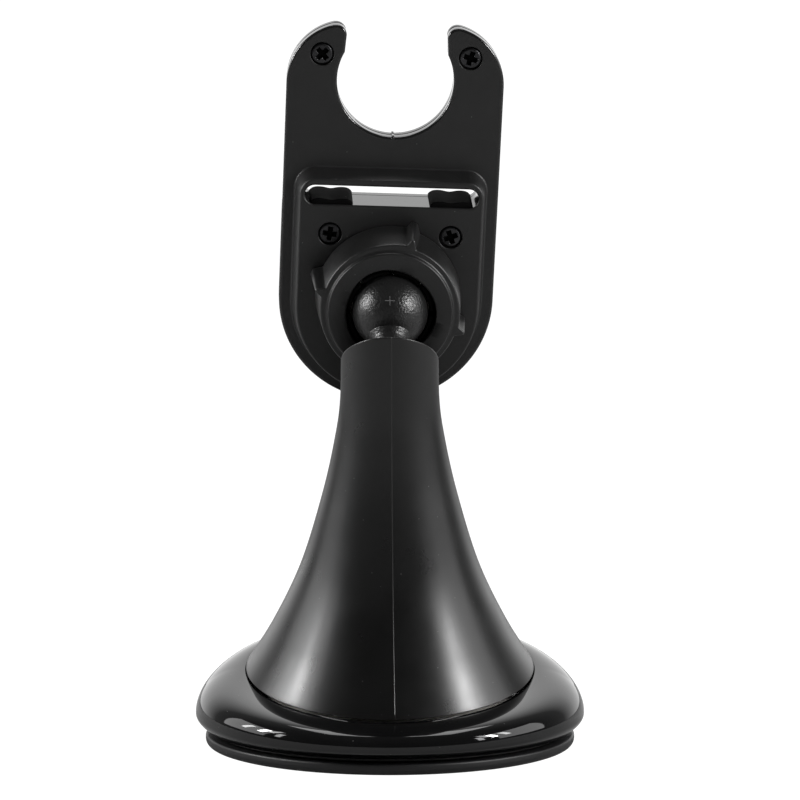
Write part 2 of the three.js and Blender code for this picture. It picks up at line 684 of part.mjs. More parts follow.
function frontCover() {
  const near = COVER_SPLIT + GAP;
  let body = solid(slab(plateOutline(), near, FRONT_FACE));
  const clamp = solid(rodAlongY(14.4, SOCKET_END + GAP, near + 1, 32))
    .subtract(solid(rodAlongY(12.2, 0, near + 0.5, 32)));
  body = body.add(clamp);
  for (const side of SIDES) {
    body = body.add(hole(2.7, 17.5, near + 1, PLATFORM_SCREW, side));
    body = body.subtract(hole(SHANK_R + 0.3, 0, FRONT_FACE - 0.8, PLATFORM_SCREW, side));
    body = body.subtract(hole(SHANK_R + 0.3, 0, FRONT_FACE - 0.8, HORN_SCREW, side));
  }
  body = body.subtract(solid(slab(slotShape(), 0, 40)));
  return piece('front_cover', body, MATERIALS.matteBlack);
}

// A rubber saddle on the floor of the slot: two humps with a dip that centres the ring's wire.
function slotPad(name, side) {
  const floor = SLOT_Z - SLOT_HEIGHT / 2 + GAP;
  const half = SADDLE_LENGTH / 2;
  const steps = 16;
  const shape = new THREE.Shape();
  shape.moveTo(-half, floor);
  shape.lineTo(half, floor);
  for (let i = steps; i >= 0; i -= 1) {
    const u = (2 * i) / steps - 1;
    const hump = SADDLE_HEIGHT - SADDLE_DIP * Math.exp(-((u / 0.35) ** 2)) - 0.5 * u ** 8;
    shape.lineTo(u * half, floor + hump);
  }
  const body = solid(slab(shape, PLATFORM_FACE + 0.8, FRONT_FACE - 0.4).translate(side * SADDLE_X, 0, 0));
  return piece(name, body, MATERIALS.rubber);
}

// A pan-head screw driven towards +Y, its driver recess facing -Y.
function headScrew(name, place, side, headFace, length) {
  const under = headFace + SCREW_HEAD_H;
  const profile = [
    [0, headFace], [HEAD_SCREW_R - 0.7, headFace], [HEAD_SCREW_R, headFace + 0.6],
    [HEAD_SCREW_R, under], [SHANK_R, under], [SHANK_R, under + length - 0.8],
    [SHANK_R - 0.5, under + length], [0, under + length],
  ];
  const bar = box(2.8, 1.6, 0.9, 0, headFace, 0);
  const cross = solid(bar).add(solid(bar.clone().rotateY(Math.PI / 2)));
  const body = solid(turned(profile, 16)).subtract(cross);
  return piece(name, body, MATERIALS.blackSteel).translateX(side * place.x).translateZ(place.z);
}

// ---------------------------------------------------------------- assembly

const base = new THREE.Group();
base.add(suctionPad(), basePlate(), plunger(), plungerPin());

const column = new THREE.Group();
column.add(lockCam(), baseRing(), pedestal());
column.add(...postPlaces().map((place, index) => baseScrew(index, place)));

const stem = new THREE.Group();
stem.add(ballStud(), studWasher(), studScrew());

const head = new THREE.Group();
head.position.copy(BALL);
head.rotation.set(HEAD_TILT, HEAD_ROLL, HEAD_YAW, 'ZXY');
head.add(ballSocket(), ballSeat(), seatCushion(), lockingNut(), backCover(), frontCover());
for (const [name, side] of [['left', -1], ['right', 1]]) {
  head.add(slotPad(`slot_pad_${name}`, side));
  head.add(headScrew(`horn_screw_${name}`, HORN_SCREW, side, PLATE_REAR + 0.05, 2));
  head.add(headScrew(`platform_screw_${name}`, PLATFORM_SCREW, side, PLATFORM_FACE + 0.2, 8));
}

const group = new THREE.Group();
group.add(base, column, stem, head);

export default group;
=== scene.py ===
"""Looks of the car phone mount: fine meshes, procedural materials, a soft studio and the camera.

Shapes are drawn in millimetres in each piece's own axes and scaled to metres when a piece is made.
The head's axes start at the ball's centre: x across, y along the socket (its depth), z up the plate.
"""

import math

import bmesh
import bpy
from mathutils import Matrix, Vector
from mathutils.geometry import tessellate_polygon


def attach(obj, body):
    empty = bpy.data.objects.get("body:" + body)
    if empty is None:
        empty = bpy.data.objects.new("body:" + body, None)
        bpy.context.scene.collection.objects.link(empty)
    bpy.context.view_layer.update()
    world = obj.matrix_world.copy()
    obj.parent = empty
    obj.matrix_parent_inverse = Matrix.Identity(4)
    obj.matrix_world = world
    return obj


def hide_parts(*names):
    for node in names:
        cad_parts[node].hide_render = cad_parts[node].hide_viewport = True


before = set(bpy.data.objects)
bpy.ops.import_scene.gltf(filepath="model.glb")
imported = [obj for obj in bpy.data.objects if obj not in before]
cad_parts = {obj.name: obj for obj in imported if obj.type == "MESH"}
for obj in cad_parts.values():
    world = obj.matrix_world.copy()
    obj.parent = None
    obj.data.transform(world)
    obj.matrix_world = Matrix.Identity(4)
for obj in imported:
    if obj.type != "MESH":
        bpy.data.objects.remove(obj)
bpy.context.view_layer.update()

MM = 0.001
TAU = 2 * math.pi

# ---------------------------------------------------------------- dimensions, in millimetres

BALL = Vector((0, -4.4, 97.55))
BALL_R = 8.5
STEM_LEAN = math.radians(37)
NECK_TOP_R = 4.9
NECK_FOOT_R = 4.2
STEM_FACE = 13.9
SPIGOT_R = 3.2
SPIGOT_BORE_R = 3.5
TOP_WALL = 4

PAD_R = 41.4
PAD_H = 2.6
PAD_POCKET_R = 12.3  # the pocket that takes the plunger's foot
PAD_POCKET_Z = 1.4
RING_BOTTOM = 3.6
RING_FOOT_R = 41.2
RING_WIDE_R = 43.6
RING_WIDE_Z = 7.3
RING_WALL = 1.5
RING_LIP = 0.3  # how far the blunted edges of the ring's foot reach up
RING_FRONT_SQUARENESS = 1.2  # 0 keeps the shoulder a plain quarter ellipse at the front too
RING_FRONT_DROP = 1.6  # how much lower the widest point is at the front

LEAN = math.radians(12.2)
SEAM_Z = 17
SEAM_R = 32.5
SEAM_GAP = 0.35
TRUMPET_PROFILE = [
    (32.6, 0), (26.5, 10.2), (20.0, 24.4), (15.05, 41), (12.2, 54), (10.9, 64), (10.7, 80),
]
TRUMPET_WALL = 2.4
TRUMPET_CAVITY_TOP = 66
TOP_CUT_ALONG_AXIS = 72.3
TOP_CUT_SLOPE = math.radians(26)
MOULD_LINE = math.radians(-88)
MOULD_RIDGE = 0.09
TOP_EDGE = 0.5  # how far the rounding of the pedestal's top edge reaches from the corner

HEAD_YAW = math.radians(2.4)
HEAD_TILT = math.radians(13.3)
HEAD_ROLL = math.radians(1.9)
PLATFORM_FACE = 12.6
PLATE_REAR = 19.2
COVER_SPLIT = 21.6
COVER_GAP = 0.3
FRONT_FACE = 24.2
COVER_WALL = 2.0

HALF_WIDTH = 24.25
ROUND_END_Z = -3.1
HORN_Z = 46.8
HORN_R = 13.5
TIP_X = 13.5
TIP_Z = 57.6
TIP_R = 2.3
FORK_Z = 47.65
FORK_R = 13.0
FORK_ARC_START = math.radians(28)

PLATFORM_HALF_WIDTH = 20.4
PLATFORM_TOP_Z = 26.3
PLATFORM_CORNER_R = 3.5
PLATFORM_DRAFT = 1.0
PLATFORM_FOOT_ROUND = 0.5
PLATFORM_EDGE_ROUND = 0.5
PLATE_EDGE_ROUND = 0.6
PLATFORM_OPENING_R = 12.9
CAVITY_TOP_Z = 18.9

SLOT_Z = 22.65
SLOT_HALF_LENGTH = 19.4
SLOT_HALF_HEIGHT = 2.2
SADDLE_X = 13.4
SADDLE_LENGTH = 9.6
SADDLE_HEIGHT = 1.2
SADDLE_DIP = 0.36
SADDLE_ROUND_OFF = 0.95

HORN_SCREW = (16.5, 53.25)
PLATFORM_SCREW = (13.5, 13.7)
SCREW_R = 2.42
CROSS_HALF_WIDTH = 0.56
CROSS_HALF_LENGTH = 1.6
CROSS_WALL = 0.12  # how far the side walls of the cross slope inwards
SCREW_RECESS_R = 2.65
HORN_WELL = 1.6
PLATFORM_WELL = 1.9
SCREW_HOLE_R = 1.4
SCREW_HEAD_H = 1.5
SHANK_R = 1.1

NUT_FACE = -2.2
NUT_END = 11.6
NUT_HOLE_R = 9.9
NUT_BORE_R = 12.6
NUT_WINGS = 4
FIRST_WING = 15  # degrees clockwise from the top
WING_HEIGHT = 1.95
HOLE_WAVE = 0.22
HOLE_WAVE_TURN = math.radians(29)
WING_RAMP = 0.22  # share of a wing's height that rises slowly before its rib

# ---------------------------------------------------------------- placing

HEAD = (
    Matrix.Translation(BALL * MM)
    @ Matrix.Rotation(HEAD_YAW, 4, "Z")
    @ Matrix.Rotation(HEAD_TILT, 4, "X")
    @ Matrix.Rotation(HEAD_ROLL, 4, "Y")
)
STEM = Matrix.Translation(BALL * MM) @ Matrix.Rotation(math.pi - STEM_LEAN, 4, "X")
TRUMPET = Matrix.Translation((0, 0, SEAM_Z * MM)) @ Matrix.Rotation(LEAN, 4, "X")
UPRIGHT = Matrix.Identity(4)

# ---------------------------------------------------------------- mesh building


class Skin:
    """The points and faces of one piece, with the material number of each face."""

    def __init__(self):
        self.points = []
        self.faces = []
        self.paints = []
        self.paint = 0

    def loop(self, points):
        first = len(self.points)
        self.points.extend(points)
        return list(range(first, len(self.points)))

    def face(self, corners):
        self.faces.append(corners)
        self.paints.append(self.paint)

    def bridge(self, one, other):
        for i in range(len(one)):
            j = (i + 1) % len(one)
            self.face((one[i], one[j], other[j], other[i]))

    def stack(self, loops):
        """Joins loops of equal length in order, and returns the first and the last ring."""
        rings = [self.loop(points) for points in loops]
        for one, other in zip(rings, rings[1:]):
            self.bridge(one, other)
        return rings[0], rings[-1]

    def flat(self, outer, *holes):
        """Fills the flat face inside a ring, around the rings of its holes."""
        rings = [outer, *holes]
        corners = [index for ring in rings for index in ring]
        outlines = [[Vector(self.points[index]) for index in ring] for ring in rings]
        for triangle in tessellate_polygon(outlines):
            self.face([corners[i] for i in triangle])

    def cap(self, ring):
        """Closes a ring with a fan around its middle."""
        middle = sum((Vector(self.points[i]) for i in ring), Vector()) / len(ring)
        centre = self.loop([tuple(middle)])[0]
        for i in range(len(ring)):
            self.face((ring[i], ring[(i + 1) % len(ring)], centre))


def make_piece(skin, name, materials, place, crease=35):
    """A smooth-shaded mesh object with large flat faces kept flat and edges over the crease sharp."""
    mesh = bpy.data.meshes.new(name)
    mesh.from_pydata([place @ (Vector(p) * MM) for p in skin.points], [], skin.faces)
    mesh.polygons.foreach_set("material_index", skin.paints)
    for material in materials:
        mesh.materials.append(material)
    shape = bmesh.new()
    shape.from_mesh(mesh)
    bmesh.ops.recalc_face_normals(shape, faces=shape.faces)
    shape.to_mesh(mesh)
    shape.free()
    mesh.shade_smooth()
    mesh.set_sharp_from_angle(angle=math.radians(crease))
    piece = bpy.data.objects.new(name, mesh)
    bpy.context.scene.collection.objects.link(piece)
    normals = piece.modifiers.new("even_normals", "WEIGHTED_NORMAL")
    normals.keep_sharp = True
    return piece


def stand_for(piece, node, body):
    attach(piece, body)
    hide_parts(node)


def rounding(radius, steps=5):
    """A quarter round as pairs: distance in from the side, distance down from the face; face first."""
    turns = [math.pi / 2 * i / steps for i in range(steps + 1)]
    return [(radius * (1 - math.sin(a)), radius * (1 - math.cos(a))) for a in turns]


def circle_up(radius, height, steps):
    """A circle about Z."""
    turns = [TAU * i / steps for i in range(steps)]
    return [(radius * math.cos(a), radius * math.sin(a), height) for a in turns]


def circle_deep(radius, depth, steps, centre=(0, 0)):
    """A circle about the socket's axis, in head axes."""
    turns = [TAU * i / steps for i in range(steps)]
    x, z = centre
    return [(x + radius * math.sin(a), depth, z + radius * math.cos(a)) for a in turns]


def at_depth(outline, depth):
    return [(x, depth, z) for x, z in outline]


def lathe(skin, profile, circle, steps):
    """Turns an open profile of (radius, height) and closes both of its ends with caps."""
    first, last = skin.stack([circle(radius, height, steps) for radius, height in profile])
    skin.cap(first)
    skin.cap(last)


def closed_lathe(skin, profile, circle, steps):
    """Turns a closed profile, so the piece has a bore."""
    first, last = skin.stack([circle(radius, height, steps) for radius, height in profile])
    skin.bridge(last, first)


# ---------------------------------------------------------------- material building


def link(tree, source, target):
    tree.links.new(source, target)


def coordinates(tree):
    return tree.nodes.new("ShaderNodeTexCoord").outputs["Object"]


def noise(tree, size, detail=3):
    """Cloudy noise from 0 to 1 whose features are about size millimetres wide."""
    node = tree.nodes.new("ShaderNodeTexNoise")
    node.inputs["Scale"].default_value = 1 / (size * MM)
    node.inputs["Detail"].default_value = detail
    link(tree, coordinates(tree), node.inputs["Vector"])
    return node.outputs["Fac"]


def spread(tree, value, low, high, start=0.3, end=0.7):
    """Maps start..end of a value to low..high, clamped."""
    node = tree.nodes.new("ShaderNodeMapRange")
    node.inputs["From Min"].default_value = start
    node.inputs["From Max"].default_value = end
    node.inputs["To Min"].default_value = low
    node.inputs["To Max"].default_value = high
    link(tree, value, node.inputs["Value"])
    return node.outputs["Result"]


def arithmetic(tree, operation, one, other):
    node = tree.nodes.new("ShaderNodeMath")
    node.operation = operation
    for socket, value in zip(node.inputs, (one, other)):
        if isinstance(value, (int, float)):
            socket.default_value = value
        else:
            link(tree, value, socket)
    return node.outputs["Value"]


def blend_colours(tree, share, one, other):
    node = tree.nodes.new("ShaderNodeMix")
    node.data_type = "RGBA"
    link(tree, share, node.inputs["Factor"])
    for socket, value in ((node.inputs[6], one), (node.inputs[7], other)):
        if isinstance(value, tuple):
            socket.default_value = (*value, 1)
        else:
            link(tree, value, socket)
    return node.outputs[2]


def relief(tree, height, depth, normal=None):
    """A bump normal where height 0..1 stands for depth millimetres."""
    node = tree.nodes.new("ShaderNodeBump")
    node.inputs["Strength"].default_value = 1
    node.inputs["Distance"].default_value = depth * MM
    link(tree, height, node.inputs["Height"])
    if normal is not None:
        link(tree, normal, node.inputs["Normal"])
    return node.outputs["Normal"]


def specks(tree, spacing, size, share):
    """1 on round specks up to size millimetres wide in a share of cells spaced that far apart."""
    cells = tree.nodes.new("ShaderNodeTexVoronoi")
    cells.inputs["Scale"].default_value = 1 / (spacing * MM)
    link(tree, coordinates(tree), cells.inputs["Vector"])
    near = spread(tree, cells.outputs["Distance"], 1, 0, 0.2 * size / spacing, 0.5 * size / spacing)
    parts = tree.nodes.new("ShaderNodeSeparateColor")
    link(tree, cells.outputs["Color"], parts.inputs["Color"])
    chosen = arithmetic(tree, "LESS_THAN", parts.outputs["Red"], share)
    return arithmetic(tree, "MULTIPLY", near, chosen)


def tinted(colour, factor):
    return tuple(min(1, channel * factor) for channel in colour)


CLOUD_SIZE = 5
WEAR_SIZE = 9
WAVE_SIZE = 3.2
DUST_SPACING = 2.0
DUST_SIZE = 0.24
DUST_COLOUR = (0.16, 0.16, 0.16)


def surface(name, colour, roughness, grain, depth, dust=0, metallic=0, wave=0, specular=0.5):
    """A procedural finish: cloudy tone, uneven roughness, grain bumps, slow waves and dust specks."""
    material = bpy.data.materials.new(name)
    material.use_nodes = True
    tree = material.node_tree
    shader = tree.nodes["Principled BSDF"]
    shader.inputs["Metallic"].default_value = metallic
    shader.inputs["Specular IOR Level"].default_value = specular
    clouds = spread(tree, noise(tree, CLOUD_SIZE), 0, 1)
    tone = blend_colours(tree, clouds, tinted(colour, 0.86), tinted(colour, 1.14))
    rough = spread(tree, noise(tree, WEAR_SIZE, detail=4), *roughness)
    normal = relief(tree, noise(tree, grain, detail=2), depth)
    if wave:
        normal = relief(tree, noise(tree, WAVE_SIZE, detail=0), wave, normal)
    if dust:
        fluff = specks(tree, DUST_SPACING, DUST_SIZE, dust)
        tone = blend_colours(tree, fluff, tone, DUST_COLOUR)
        rough = arithmetic(tree, "MAXIMUM", rough, arithmetic(tree, "MULTIPLY", fluff, 0.8))
    link(tree, tone, shader.inputs["Base Color"])
    link(tree, rough, shader.inputs["Roughness"])
    link(tree, normal, shader.inputs["Normal"])
    return material


FINISHES = {
    "gel": surface("gel", (0.004, 0.004, 0.0045), (0.42, 0.56), 0.5, 0.01, dust=0.3),
    "inner_plastic": surface("inner_plastic", (0.01, 0.01, 0.01), (0.5, 0.65), 0.3, 0.01),
    "acetal": surface("acetal", (0.70, 0.68, 0.63), (0.35, 0.5), 0.4, 0.006),
    "zinc_steel": surface(
        "zinc_steel", (0.58, 0.59, 0.60), (0.22, 0.4), 0.25, 0.006, metallic=1
    ),
    "gloss_black": surface(
        "gloss_black", (0.004, 0.004, 0.0042), (0.035, 0.06), 0.6, 0.0004, dust=0.4, wave=0.0012
    ),
    "satin_black": surface(
        "satin_black", (0.004, 0.004, 0.004), (0.27, 0.33), 0.16, 0.003, dust=0.35
    ),
    "textured_black": surface(
        "textured_black", (0.012, 0.012, 0.012), (0.27, 0.33), 0.5, 0.12
    ),
    "matte_black": surface(
        "matte_black", (0.0075, 0.0075, 0.0075), (0.44, 0.5), 0.14, 0.008, dust=0.25
    ),
    "slot_gloss": surface("slot_gloss", (0.01, 0.01, 0.01), (0.08, 0.14), 0.5, 0.002),
    "rubber": surface(
        "rubber", (0.003, 0.003, 0.003), (0.7, 0.85), 0.35, 0.02, dust=0.4, specular=0.05
    ),
    "black_steel": surface(
        "black_steel", (0.05, 0.05, 0.052), (0.3, 0.42), 0.2, 0.006, metallic=1
    ),
    # Near-black and nearly without shine: painted shade for the deep gap around the ball and for the
    # screws' cross recesses.
    "painted_shade_black": surface(
        "painted_shade_black", (0.0015, 0.0015, 0.0015), (0.6, 0.7), 0.4, 0.01, specular=0.05
    ),
    # Light grey, far lighter than the ball, for the ball's witness lines.
    "light_grey_mark": surface("light_grey_mark", (0.16, 0.16, 0.16), (0.4, 0.6), 0.3, 0.02),
    "nut_black": surface("nut_black", (0.008, 0.008, 0.008), (0.36, 0.42), 0.14, 0.008, dust=0.25),
}

# ---------------------------------------------------------------- base: pad and ring


def suction_pad():
    """A flat elastomer disc with a pocket on top, and a shallow hollow and a groove underneath."""
    profile = [(34.0, 0.12), (34.4, 0.0), (37.0, 0.0), (37.3, 0.25), (37.7, 0.25), (38.0, 0.0)]
    profile += [(PAD_R - inset, drop) for inset, drop in rounding(1.5, 7)]
    top_edge = [(PAD_R - inset, PAD_H - drop) for inset, drop in rounding(0.5, 5)]
    profile += top_edge[::-1]
    profile += [(PAD_POCKET_R, PAD_H), (PAD_POCKET_R, PAD_POCKET_Z)]
    skin = Skin()
    lathe(skin, profile, circle_up, 180)
    piece = make_piece(skin, "suction_pad_fine", [FINISHES["gel"]], UPRIGHT)
    stand_for(piece, "suction_pad", "base")


def seam_point(angle, radius, drop):
    """A point on the seam's leaning circle, at a radius, dropped along the pedestal's axis."""
    flat = Vector((radius * math.cos(angle), radius * math.sin(angle), -drop))
    return Matrix.Rotation(LEAN, 3, "X") @ flat + Vector((0, 0, SEAM_Z))


def ring_section(angle):
    """The ring's closed cross-section at an angle: foot, undercut, shoulder, seam lip and inside."""
    seam = seam_point(angle, SEAM_R + 0.1, 0)
    reach = math.hypot(seam.x, seam.y)
    outward = Vector((seam.x / reach, seam.y / reach, 0))
    frontness = max(0, -outward.y)
    squareness = 2 + RING_FRONT_SQUARENESS * frontness
    wide_z = RING_WIDE_Z - RING_FRONT_DROP * frontness

    def at(radius, height):
        return outward * radius + Vector((0, 0, height))

    def shoulder(turn, inset):
        across = max(0, math.cos(turn)) ** (2 / squareness)
        up = max(0, math.sin(turn)) ** (2 / squareness)
        radius = reach + (RING_WIDE_R - inset - reach) * across
        return at(radius, wide_z + (seam.z - inset - wide_z) * up)

    low = RING_BOTTOM + RING_LIP
    inner = RING_FOOT_R - RING_WALL
    points = [at(inner, low), at(inner + RING_LIP, RING_BOTTOM)]
    points += [at(RING_FOOT_R - 0.4, RING_BOTTOM), at(RING_FOOT_R - 0.12, RING_BOTTOM + 0.08)]
    for i in range(13):
        t = i / 12
        bulge = (RING_WIDE_R - RING_FOOT_R) * math.sin(t * math.pi / 2)
        points.append(at(RING_FOOT_R + bulge, low + (wide_z - low) * t))
    for i in range(1, 41):
        points.append(shoulder(math.pi / 2 * (i / 41) ** 1.6, 0))
    points += [seam_point(angle, SEAM_R + 0.05, 0.01), seam_point(angle, SEAM_R - 0.1, 0.1)]
    points += [seam_point(angle, SEAM_R - 0.18, 0.3), seam_point(angle, SEAM_R - 0.18, RING_WALL)]
    for i in range(8, -1, -1):
        points.append(shoulder(math.pi / 2 * i / 9, RING_WALL))
    return [tuple(point) for point in points]


def base_ring():
    """The glossy ring: low at the front, where the pedestal leans out over it, and high behind."""
    steps = 240
    sections = [ring_section(TAU * i / steps) for i in range(steps)]
    skin = Skin()
    rings = [skin.loop(section) for section in sections]
    for i in range(steps):
        skin.bridge(rings[i], rings[(i + 1) % steps])
    piece = make_piece(skin, "base_ring_fine", [FINISHES["gloss_black"]], UPRIGHT, crease=50)
    stand_for(piece, "base_ring", "column")


# ---------------------------------------------------------------- pedestal


def spline(points, steps):
    """A uniform Catmull-Rom curve through the points."""
    curve = []
    last = len(points) - 1
    for i in range(steps + 1):
        position = last * i / steps
        k = min(int(position), last - 1)
        t = position - k
        before, here, there, beyond = (points[max(0, min(last, k + d))] for d in (-1, 0, 1, 2))
        curve.append(tuple(
            (2 * b - 2 * c + (c - a) / 2 + (d - b) / 2) * t ** 3
            + (-3 * b + 3 * c - (c - a) - (d - b) / 2) * t ** 2
            + (c - a) / 2 * t
            + b
            for a, b, c, d in zip(before, here, there, beyond)
        ))
    return curve


TRUMPET_CURVE = spline(TRUMPET_PROFILE, 240)


def trumpet_radius(height):
    """The pedestal's outer radius at a height along its own axis."""
    for (r0, h0), (r1, h1) in zip(TRUMPET_CURVE, TRUMPET_CURVE[1:]):
        if height <= h1:
            return r0 + (r1 - r0) * max(0, height - h0) / (h1 - h0)
    return TRUMPET_CURVE[-1][0]


def pedestal_columns():
    """Columns up the side as (angle, sideways shift, ridge height), both lengths in millimetres.

    The hairline where the two mould halves met runs up the front and the back.
    """
    lines = (MOULD_LINE, MOULD_LINE + math.pi)
    columns = []
    for i in range(144):
        angle = TAU * i / 144
        away = min(abs((angle - line + math.pi) % TAU - math.pi) for line in lines)
        if away > math.radians(2.1):
            columns.append((angle, 0, 0))
    for line in lines:
        columns += [(line, shift, 0) for shift in (-0.3, -0.13, 0.13, 0.3)]
        columns.append((line, 0, MOULD_RIDGE))
    return sorted(columns, key=lambda column: (column[0] % TAU, column[1]))


def side_point(column, height, extra=0.0):
    """A point of the pedestal's side at a height along its axis."""
    angle, shift, ridge = column
    radius = trumpet_radius(height) + extra
    turned = angle + shift / radius
    radius += ridge if extra == 0 else 0
    return Vector((radius * math.cos(turned), radius * math.sin(turned), height))


def cut_height(column):
    """Height along the axis at which the sloping top cuts the side."""
    slope = math.tan(TOP_CUT_SLOPE + LEAN)
    height = TOP_CUT_ALONG_AXIS
    for _ in range(8):
        height = TOP_CUT_ALONG_AXIS - side_point(column, height).y * slope
    return height


def bend(start, corner, end, t):
    return start * (1 - t) ** 2 + corner * 2 * t * (1 - t) + end * t ** 2


def pedestal():
    """The trumpet: flared side, rounded top edge, sloping top, bore for the stem and a hollow inside."""
    columns = pedestal_columns()
    centre = Vector((0, 0, TOP_CUT_ALONG_AXIS))
    corners = [side_point(column, cut_height(column)) for column in columns]
    sides = [cut_height(column) - TOP_EDGE for column in columns]
    levels = 90
    bottom = SEAM_GAP + 0.3
    loops = [
        [tuple(side_point(column, SEAM_GAP, -0.25)) for column in columns],
        [tuple(side_point(column, SEAM_GAP + 0.08, -0.06)) for column in columns],
    ]
    for i in range(levels + 1):
        loops.append([
            tuple(side_point(column, bottom + (top - bottom) * i / levels))
            for column, top in zip(columns, sides)
        ])
    inner = [corner + (centre - corner).normalized() * TOP_EDGE for corner in corners]
    for i in range(1, 7):
        loops.append([
            tuple(bend(side_point(column, top), corner, point, i / 6))
            for column, top, corner, point in zip(columns, sides, corners, inner)
        ])
    angles = [angle + shift / SPIGOT_BORE_R / 3 for angle, shift, _ in columns]
    loops.append(bore_mouth(angles))
    loops.append(bore_circle(angles, STEM_FACE + TOP_WALL))
    hollow = [TRUMPET_CAVITY_TOP * (1 - i / 20) for i in range(20)] + [SEAM_GAP]
    for height in hollow:
        loops.append([tuple(side_point(column, height, -TRUMPET_WALL)) for column in columns])
    skin = Skin()
    first, last = skin.stack(loops)
    skin.bridge(last, first)
    piece = make_piece(skin, "pedestal_fine", [FINISHES["satin_black"]], TRUMPET, crease=50)
    stand_for(piece, "pedestal", "column")


def from_stem(point):
    """A point of the stem's axes in the trumpet's axes."""
    return (TRUMPET.inverted() @ STEM @ (Vector(point) * MM)) / MM


def bore_circle(angles, along):
    return [
        tuple(from_stem((SPIGOT_BORE_R * math.cos(a), -SPIGOT_BORE_R * math.sin(a), along)))
        for a in angles
    ]


def bore_mouth(angles):
    """The bore's rim, where it meets the sloping top."""
    slope = TOP_CUT_SLOPE + LEAN
    up = Vector((0, math.sin(slope), math.cos(slope)))
    centre = Vector((0, 0, TOP_CUT_ALONG_AXIS))
    rim = []
    for a in angles:
        edge = (SPIGOT_BORE_R * math.cos(a), -SPIGOT_BORE_R * math.sin(a))
        near = from_stem((*edge, 0))
        far = from_stem((*edge, 1))
        steps = up.dot(centre - near) / up.dot(far - near)
        rim.append(tuple(near + (far - near) * steps))
    return rim


# ---------------------------------------------------------------- ball stud


def ball_stud():
    """The ball on its tapered neck, and the spigot that goes into the pedestal."""
    top = math.asin(math.sqrt(BALL_R ** 2 - NECK_TOP_R ** 2) / BALL_R)
    turns = [-math.pi / 2 + (top + math.pi / 2) * i / 64 for i in range(1, 65)]
    profile = [(BALL_R * math.cos(a), BALL_R * math.sin(a)) for a in turns]
    neck_end = STEM_FACE - 1.2
    shoulder = profile[-1][1]
    profile += [(NECK_TOP_R + 0.05, shoulder + 0.04), (NECK_TOP_R, shoulder + 0.25)]
    profile += [(NECK_FOOT_R + 0.1, shoulder + 1.1), (NECK_FOOT_R, shoulder + 1.6)]
    profile += [(NECK_FOOT_R, neck_end - 0.2), (NECK_FOOT_R - 0.2, neck_end)]
    profile += [(SPIGOT_R, neck_end), (SPIGOT_R, STEM_FACE + 3.4)]
    skin = Skin()
    lathe(skin, profile, circle_up, 128)
    piece = make_piece(skin, "ball_stud_fine", [FINISHES["textured_black"]], STEM)
    stand_for(piece, "ball_stud", "stud")


def on_ball(sideways, upwards, lift):
    """A point over the ball's surface, at angles from the direction that faces -Y."""
    radius = BALL_R + lift
    return (
        radius * math.sin(sideways) * math.cos(upwards),
        -radius * math.cos(sideways) * math.cos(upwards),
        radius * math.sin(upwards),
    )


def ball_marks():
    """Two crossed witness lines left by the mould, and the short parting line over the neck."""
    middle = (0.005, 0.34)
    lines = [(middle, (0, 0.125)), (middle, (0.135, 0)), ((0.0, -0.37), (0, 0.05))]
    half = 0.008
    sunk, proud = -0.05, 0.045
    skin = Skin()
    for (sideways, upwards), (reach_x, reach_z) in lines:
        wide, tall = max(reach_x, half), max(reach_z, half)
        for i in range(12):
            ends = [(-1 + 2 * (i + k) / 12) for k in (0, 1)]
            if reach_x:
                spans = [(sideways + wide * e, upwards + s * tall) for e in ends for s in (-1, 1)]
            else:
                spans = [(sideways + s * wide, upwards + tall * e) for e in ends for s in (-1, 1)]
            low = skin.loop([on_ball(*span, sunk) for span in spans])
            high = skin.loop([on_ball(*span, proud) for span in spans])
            skin.face((high[0], high[1], high[3], high[2]))
            skin.face((low[0], low[1], low[3], low[2]))
            for a, b in ((0, 1), (1, 3), (3, 2), (2, 0)):
                skin.face((low[a], low[b], high[b], high[a]))
    place = Matrix.Translation(BALL * MM)
    # The witness lines are coloured light grey, far lighter than the ball around them.
    piece = make_piece(skin, "ball_marks", [FINISHES["light_grey_mark"]], place)
    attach(piece, "stud")


# ---------------------------------------------------------------- nut, socket


def smooth(share):
    """An S-shaped rise from 0 to 1."""
    share = max(0, min(1, share))
    return share * share * (3 - 2 * share)


def wing(clockwise, far):
    """Height 0..1 of the grip wings; far runs from 0 at the nut's near end to 1 at its far end."""
    turns = (math.degrees(clockwise) - FIRST_WING) * NUT_WINGS / 360
    degrees = (turns - round(turns)) * 360 / NUT_WINGS
    if degrees < 0:
        ramp = (1 + degrees / 45) ** 2
        return WING_RAMP * ramp + (1 - WING_RAMP) * smooth(1 + degrees / (4.6 - 1.6 * far))
    crest = 0.5 + 2.6 * far
    return smooth(1 - (degrees - crest) / (4.6 + 1.8 * far))


def nut_angles():
    """Fine steps across each wing's rib and even ones between."""
    angles = []
    for k in range(NUT_WINGS):
        crest = FIRST_WING + 360 / NUT_WINGS * k
        angles += [crest - 6 + 18 * i / 36 for i in range(36)]
        angles += [crest + 12 + 72 * i / 30 for i in range(30)]
    return [math.radians(a) for a in angles]


def hole_wave(angle):
    """The hole is slightly three-cornered."""
    return HOLE_WAVE * math.cos(3 * (angle + HOLE_WAVE_TURN))


